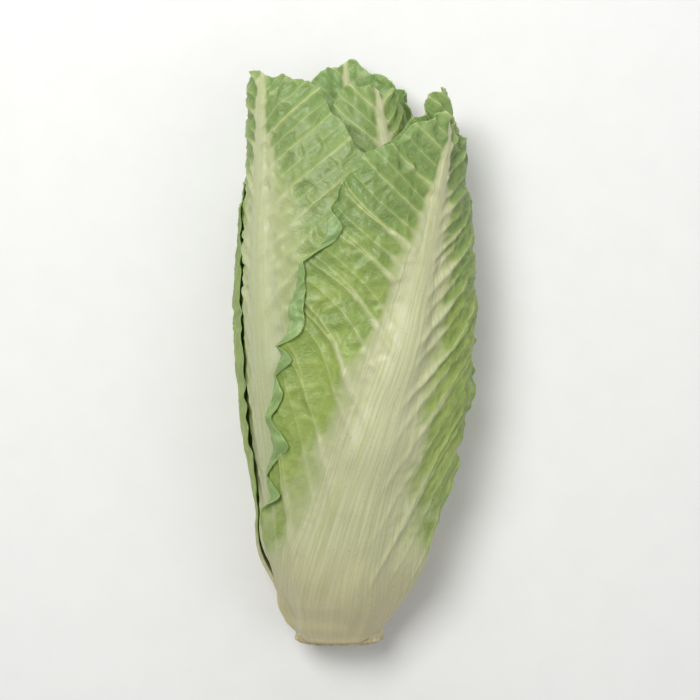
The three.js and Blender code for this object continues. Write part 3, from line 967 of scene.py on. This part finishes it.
def turned_faces(rings, turns):
    """The faces of a turned form: quads between its rings, and a fan from a pole at each end. The poles come
    after the rings' points."""
    here = np.arange(turns)[None, :]
    after = (here + 1) % turns
    ring = np.arange(rings - 1)[:, None] * turns
    quads = np.stack([ring + here, ring + turns + here, ring + turns + after, ring + after], axis=-1)
    first, last, top = rings * turns, rings * turns + 1, (rings - 1) * turns
    fans = [[first, a, (a + 1) % turns] for a in range(turns)]
    fans += [[last, top + (a + 1) % turns, top + a] for a in range(turns)]
    return quads.reshape(-1, 4).tolist() + fans


def make_stump(offset, material):
    """The stump as a turned form: from the middle of the cut face out to a rounded edge, then up its side to
    a point. The cut face dips in its middle and keeps the knife's shallow steps. The side has soft ridges
    and the scars of leaves that were pulled off."""
    turns, face_steps, side_steps = 160, 34, 50
    angle = np.linspace(0, FULL_TURN, turns, endpoint=False)[None, :]
    out = np.linspace(0, 1, face_steps)[1:, None] ** 0.85
    up = lerp(STUMP_CHAMFER, STUMP_LENGTH, np.linspace(0, 1, side_steps)[:-1, None] ** 1.3)
    radius = np.concatenate([out * (STUMP_RADIUS - 0.6 * STUMP_CHAMFER), stump_radius(up)])
    radius = radius * np.ones((1, turns))
    station = np.concatenate([0.1 + 0.75 * smoothstep(0.9, 1, out) ** 2, up]) * np.ones((1, turns))
    on_face = np.zeros_like(radius)
    on_face[: face_steps - 1] = 1
    share = radius / STUMP_RADIUS
    x, y = share * np.cos(angle), share * np.sin(angle)
    knife = 0.12 * np.abs(2 * fraction(2.1 * x + 0.7 * y + 0.15 * soft_noise(3 * x, 3 * y, 5)) - 1)
    dip = 0.8 * (1 - smoothstep(0, 0.75, share)) + 0.15 * np.cos(9 * share + soft_noise(3 * x, 3 * y, 6))
    uneven = 0.2 * (1 + soft_noise(5 * x, 5 * y, 7))
    station = station + on_face * (1 - share**8) * (knife + dip + uneven)
    side = (1 - on_face) * smoothstep(0.5, 3, station)
    scars = sum(np.exp(-(((station - s - 0.8 * np.sin(angle + s)) / 0.45) ** 2)) for s in (3.2, 5.4, 8.0))
    radius = radius - side * (0.4 * scars + 0.2 * (1 + soft_noise(angle * 6, station / 9, 3)))
    angle = angle * np.ones_like(radius)
    points = place_point(angle, station, radius).reshape(-1, 3)
    poles = place_point(np.zeros(2), np.array([1.2, STUMP_LENGTH]), np.zeros(2))
    points = np.concatenate([points, poles])
    all_angles = np.append(angle, [0, 0])
    all_radii = np.append(radius, [0, 0])
    heights = np.append((1 - on_face) * station, [0, STUMP_LENGTH])
    attributes = {"place": points, **stump_marks(all_angles, heights, all_radii)}
    faces = turned_faces(radius.shape[0], turns)
    piece = make_piece("stump_skin", points + offset, faces, attributes, material)
    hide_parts("stump")


# ---------------------------------------------------------------- floor, lights and camera


def make_floor(half=3.0):
    mesh = bpy.data.meshes.new("floor")
    corners = [(-half, -half, 0), (half, -half, 0), (half, half, 0), (-half, half, 0)]
    mesh.from_pydata(corners, [], [(0, 1, 2, 3)])
    mesh.materials.append(floor_material())
    floor = bpy.data.objects.new("floor", mesh)
    bpy.context.scene.collection.objects.link(floor)


def make_light(name, place, size, power, target=(0, 0, 0.03)):
    """A square area light that faces the head."""
    light = bpy.data.lights.new(name, "AREA")
    light.size = size
    light.energy = power
    lamp = bpy.data.objects.new(name, light)
    bpy.context.scene.collection.objects.link(lamp)
    lamp.location = place
    direction = np.array(target) - np.array(place)
    lamp.rotation_euler = Vector(direction).to_track_quat("-Z", "Y").to_euler()


def make_world(brightness):
    """Even white light from all round."""
    world = bpy.data.worlds.new("world")
    world.use_nodes = True
    world.node_tree.nodes["Background"].inputs["Color"].default_value = (1, 1, 1, 1)
    world.node_tree.nodes["Background"].inputs["Strength"].default_value = brightness
    bpy.context.scene.world = world


def make_camera(height, lens):
    """Straight above the heart, with its tips at the top of the picture."""
    camera = bpy.data.cameras.new("camera")
    camera.lens = lens
    view = bpy.data.objects.new("camera", camera)
    view.location = (0, 0, height)
    bpy.context.scene.collection.objects.link(view)
    bpy.context.scene.camera = view


leaves = wrap_leaves()
offset = find_offset(leaves)
outer_skin = leaf_material("outer leaf skin", *OUTER_SKIN)
inner_skin = leaf_material("inner leaf skin", *INNER_SKIN)
pale_skin = leaf_material("pale leaf skin", *PALE_SKIN)
for leaf in leaves:
    make_leaf(leaf, offset, inner_skin if leaf.k > 5 else pale_skin if leaf.pallor else outer_skin)
make_stump(offset, stump_material())

make_floor()
make_light("key", (-0.26, 0.28, 0.82), 0.4, 5.7)
make_light("fill", (0.6, -0.2, 0.6), 0.7, 1.4)
make_light("tips", (0.05, 0.62, 0.22), 0.4, 1.5)
make_world(0.3)
make_camera(0.66, 85)
bpy.context.scene.view_settings.view_transform = "Standard"
